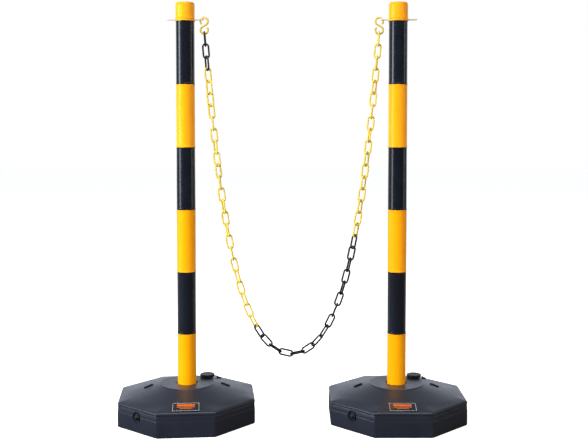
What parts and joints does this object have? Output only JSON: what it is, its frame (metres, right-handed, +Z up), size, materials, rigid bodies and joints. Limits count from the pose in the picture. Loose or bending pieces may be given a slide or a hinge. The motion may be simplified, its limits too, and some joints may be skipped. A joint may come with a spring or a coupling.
{
  "type": "plastic chain stanchion",
  "caption": "Striped black and yellow chain stanchion set: plug-together tube posts on octagonal ballast bases, joined by a plastic link chain on S-hooks.",
  "frame": {"origin": "on the floor, midway between the two posts", "axes": "+Z up, +X from the left post to the right post, the labelled fronts of the bases face -Y"},
  "size_m": [0.9318, 0.3716, 1.116],
  "materials": {
    "base_black": "satin black moulded polyethylene with a fine grain",
    "tube_black": "glossy black plastic tube",
    "tube_yellow": "glossy signal yellow plastic",
    "hook_yellow": "ochre yellow moulded plastic",
    "chain_black": "black moulded plastic link",
    "chain_yellow": "yellow moulded plastic link",
    "fitting_black": "black moulded closure",
    "seal_rubber": "matt black rubber",
    "label_film": "dark label with a pale border and plain orange bars"
  },
  "bodies": {
    "bases": {"left_base_shell": "base_black", "left_cap_tether": "fitting_black", "left_label_plate": "label_film", "right_base_shell": "base_black", "right_cap_tether": "fitting_black", "right_label_plate": "label_film"},
    "left_post": {"left_post_section_1": "tube_yellow", "left_post_section_2": "tube_black", "left_post_section_3": "tube_yellow", "left_post_section_4": "tube_black", "left_post_section_5": "tube_yellow", "left_post_section_6": "tube_black", "left_chain_plate": "tube_yellow"},
    "left_cap": {"left_top_cap": "tube_yellow"},
    "left_hook": {"left_s_hook": "hook_yellow"},
    "left_gasket": {"left_fill_gasket": "seal_rubber"},
    "left_filler": {"left_fill_cap": "fitting_black"},
    "left_drain": {"left_drain_plug": "fitting_black", "left_drain_o_ring": "seal_rubber"},
    "right_post": {"right_post_section_1": "tube_yellow", "right_post_section_2": "tube_black", "right_post_section_3": "tube_yellow", "right_post_section_4": "tube_black", "right_post_section_5": "tube_yellow", "right_post_section_6": "tube_black", "right_chain_plate": "tube_yellow"},
    "right_cap": {"right_top_cap": "tube_yellow"},
    "right_hook": {"right_s_hook": "hook_yellow"},
    "right_gasket": {"right_fill_gasket": "seal_rubber"},
    "right_filler": {"right_fill_cap": "fitting_black"},
    "right_drain": {"right_drain_plug": "fitting_black", "right_drain_o_ring": "seal_rubber"},
    "chain": {"left_end_link": "chain_black", "black_run_1": "chain_black", "yellow_run_1": "chain_yellow", "black_run_2": "chain_black", "yellow_run_2": "chain_yellow", "right_end_link": "chain_yellow"}
  },
  "joints": [
    {"name": "left_post_lift", "type": "slide", "parent": "bases", "child": "left_post", "axis": [0, 0, 1], "range_m": [0, 0.06]},
    {"name": "left_cap_lift", "type": "slide", "parent": "left_post", "child": "left_cap", "axis": [0, 0, 1], "range_m": [0, 0.04]},
    {"name": "left_hook_swing", "type": "hinge", "parent": "left_post", "child": "left_hook", "pos_m": [-0.2345, 0, 1.0733], "axis": [1, 0, 0], "range_deg": [-25, 25]},
    {"name": "left_gasket_lift", "type": "slide", "parent": "bases", "child": "left_gasket", "axis": [0, 0, 1], "range_m": [0, 0.00401]},
    {"name": "left_filler_turn", "type": "hinge", "parent": "left_gasket", "child": "left_filler", "pos_m": [-0.2335, 0.05899, 0.095], "axis": [0, 0, 1], "range_deg": [0, 360]},
    {"name": "left_drain_pull", "type": "slide", "parent": "bases", "child": "left_drain", "axis": [-0.6428, -0.766, 0], "range_m": [0, 0.02]},
    {"name": "right_post_lift", "type": "slide", "parent": "bases", "child": "right_post", "axis": [0, 0, 1], "range_m": [0, 0.06]},
    {"name": "right_cap_lift", "type": "slide", "parent": "right_post", "child": "right_cap", "axis": [0, 0, 1], "range_m": [0, 0.04]},
    {"name": "right_hook_swing", "type": "hinge", "parent": "right_post", "child": "right_hook", "pos_m": [0.2345, 0, 1.0733], "axis": [1, 0, 0], "range_deg": [-25, 25]},
    {"name": "right_gasket_lift", "type": "slide", "parent": "bases", "child": "right_gasket", "axis": [0, 0, 1], "range_m": [0, 0.00401]},
    {"name": "right_filler_turn", "type": "hinge", "parent": "right_gasket", "child": "right_filler", "pos_m": [0.33745, 0.05445, 0.095], "axis": [0, 0, 1], "range_deg": [0, 360]},
    {"name": "right_drain_pull", "type": "slide", "parent": "bases", "child": "right_drain", "axis": [-0.7071, -0.7071, 0], "range_m": [0, 0.02]},
    {"name": "chain_swing", "type": "hinge", "parent": "left_hook", "child": "chain", "pos_m": [-0.2324, 0, 1.03167], "axis": [1, 0, 0], "range_deg": [-30, 30]}
  ],
  "couplings": [
    {"joint": "left_gasket_lift", "follows": "left_filler_turn", "m_per_rad": 0.00063662},
    {"joint": "right_gasket_lift", "follows": "right_filler_turn", "m_per_rad": 0.00063662},
    {"joint": "right_post_lift", "follows": "left_post_lift", "ratio": 1},
    {"joint": "right_hook_swing", "follows": "left_hook_swing", "ratio": 1}
  ]
}
